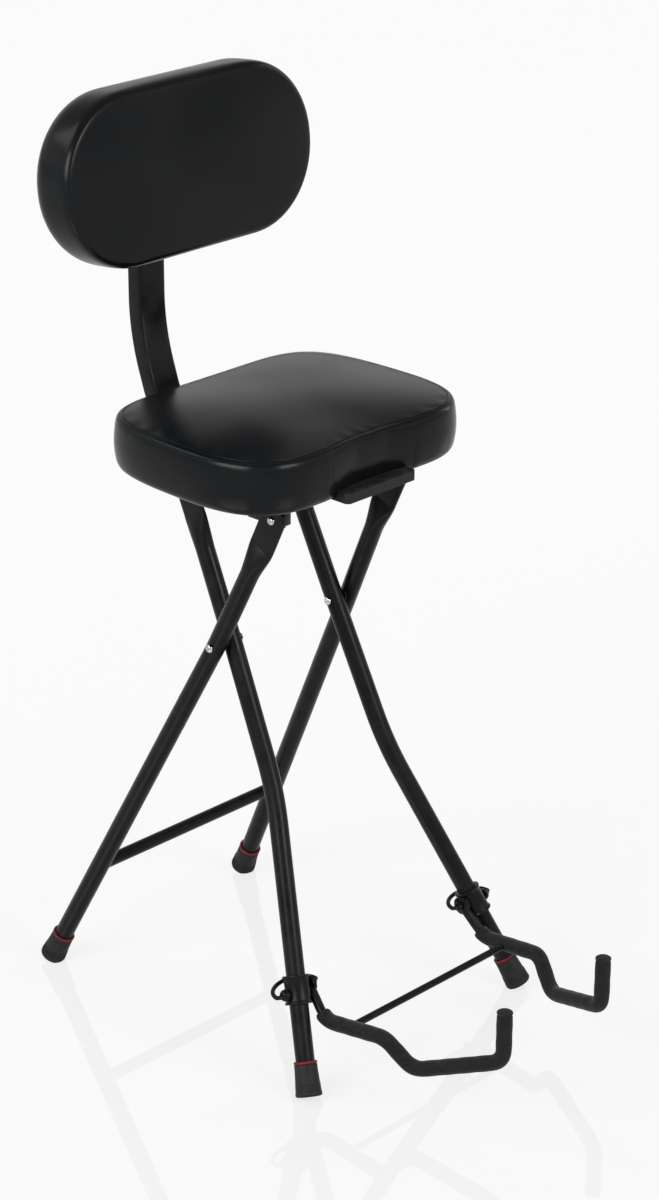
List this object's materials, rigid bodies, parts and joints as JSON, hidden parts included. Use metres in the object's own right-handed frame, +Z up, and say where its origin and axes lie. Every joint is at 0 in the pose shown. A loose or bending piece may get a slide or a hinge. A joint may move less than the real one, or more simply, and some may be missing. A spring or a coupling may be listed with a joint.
{
  "type": "folding performer stool",
  "caption": "Folding stool with crossed tube legs, a padded seat with a neck notch, a padded back on a bent post and a fold-out cradle at the front legs.",
  "frame": {"origin": "on the floor, in the middle of the stool's outline seen from above", "axes": "+Z up, -Y the way the sitter faces and the cradle folds out, +X the sitter's left"},
  "size_m": [0.356, 0.6152, 0.9812],
  "materials": {
    "powder_coat": "satin black powder coat on steel tube and sheet",
    "vinyl": "smooth black upholstery vinyl with a soft sheen",
    "rubber": "matt black moulded rubber",
    "red_band": "dark red rubber band",
    "foam": "matt black closed-cell foam sleeve",
    "bright_steel": "bright zinc-plated steel",
    "board": "dark stained plywood",
    "nylon": "black nylon"
  },
  "bodies": {
    "rear_legs": {"rear_leg_left": "powder_coat", "rear_leg_right": "powder_coat", "rear_crossbar": "powder_coat", "rear_foot_left": "rubber", "rear_foot_right": "rubber", "rear_foot_ring_left": "red_band", "rear_foot_ring_right": "red_band", "scissor_rivet_left": "bright_steel", "scissor_rivet_right": "bright_steel", "scissor_washer_left": "nylon", "scissor_washer_right": "nylon"},
    "front_legs": {"front_leg_left": "powder_coat", "front_leg_right": "powder_coat", "front_foot_left": "rubber", "front_foot_right": "rubber", "front_foot_ring_left": "red_band", "front_foot_ring_right": "red_band", "hook_rod": "powder_coat", "cradle_collar_left": "powder_coat", "cradle_collar_right": "powder_coat", "cradle_pin_left": "powder_coat", "cradle_pin_right": "powder_coat"},
    "seat": {"front_bracket_left": "powder_coat", "front_bracket_right": "powder_coat", "seat_pivot_rivet_left": "bright_steel", "seat_pivot_rivet_right": "bright_steel", "rear_bracket_left": "powder_coat", "rear_bracket_right": "powder_coat", "front_bracket_screw_1_left": "bright_steel", "front_bracket_screw_1_right": "bright_steel", "front_bracket_screw_2_left": "bright_steel", "front_bracket_screw_2_right": "bright_steel", "rear_bracket_screw_1_left": "bright_steel", "rear_bracket_screw_1_right": "bright_steel", "rear_bracket_screw_2_left": "bright_steel", "rear_bracket_screw_2_right": "bright_steel", "seat_board": "board", "seat_cushion": "vinyl", "neck_rest": "rubber", "backrest_post": "powder_coat", "post_bolt_1": "bright_steel", "post_bolt_2": "bright_steel", "backrest_wedge": "powder_coat", "backrest_board": "board", "backrest_cushion": "vinyl", "backrest_screw_1": "bright_steel", "backrest_screw_2": "bright_steel", "post_plug": "nylon"},
    "cradle": {"cradle_arm_left": "powder_coat", "cradle_arm_right": "powder_coat", "cradle_sleeve_left": "foam", "cradle_sleeve_right": "foam", "cradle_cap_left": "rubber", "cradle_cap_right": "rubber", "cradle_cross_rod": "powder_coat"},
    "bail_left": {"pin_bail_left": "powder_coat"},
    "bail_right": {"pin_bail_right": "powder_coat"}
  },
  "joints": [
    {"name": "legs_fold", "type": "hinge", "parent": "rear_legs", "child": "front_legs", "pos_m": [0, 0.08359, 0.4282], "axis": [1, 0, 0], "range_deg": [0, 40]},
    {"name": "seat_tilt", "type": "hinge", "parent": "rear_legs", "child": "seat", "pos_m": [0, 0.01159, 0.5842], "axis": [1, 0, 0], "range_deg": [0, 88]},
    {"name": "cradle_fold", "type": "hinge", "parent": "front_legs", "child": "cradle", "pos_m": [0, -0.0699, 0.1002], "axis": [-1, 0, 0], "range_deg": [0, 95]},
    {"name": "bail_left_swing", "type": "hinge", "parent": "front_legs", "child": "bail_left", "pos_m": [0, -0.0699, 0.1002], "axis": [1, 0, 0], "range_deg": [-65, 0]},
    {"name": "bail_right_swing", "type": "hinge", "parent": "front_legs", "child": "bail_right", "pos_m": [0, -0.0699, 0.1002], "axis": [1, 0, 0], "range_deg": [-65, 0]}
  ],
  "couplings": [
    {"joint": "seat_tilt", "follows": "legs_fold", "ratio": 2.2}
  ]
}
